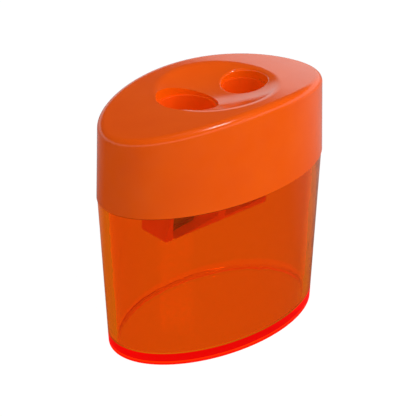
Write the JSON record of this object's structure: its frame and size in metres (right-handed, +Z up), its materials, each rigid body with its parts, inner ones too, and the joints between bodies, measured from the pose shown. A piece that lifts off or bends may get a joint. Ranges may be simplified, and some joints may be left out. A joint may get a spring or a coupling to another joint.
{
  "type": "pencil sharpener",
  "caption": "Two-hole pencil sharpener in an oval cap that pulls off a translucent shavings container.",
  "frame": {"origin": "centre of the container's underside, on the surface it stands on", "axes": "+X along the oval's long axis towards the small pencil hole, -Y out of the side that the blades face, +Z up"},
  "size_m": [0.0524, 0.0292, 0.0505],
  "materials": {
    "translucent_plastic": "polished, see-through orange",
    "lid_plastic": "polished, opaque orange",
    "block_plastic": "moulded, opaque red-orange",
    "blade_steel": "ground steel",
    "screw_steel": "plated steel"
  },
  "bodies": {
    "container": {"container": "translucent_plastic"},
    "lid_assembly": {"lid": "lid_plastic", "sharpener_block": "block_plastic", "large_blade": "blade_steel", "small_blade": "blade_steel", "large_blade_screw": "screw_steel", "small_blade_screw": "screw_steel"}
  },
  "joints": [
    {"name": "lid_lift", "type": "slide", "parent": "container", "child": "lid_assembly", "axis": [0, 0, 1], "range_m": [0, 0.025]}
  ]
}
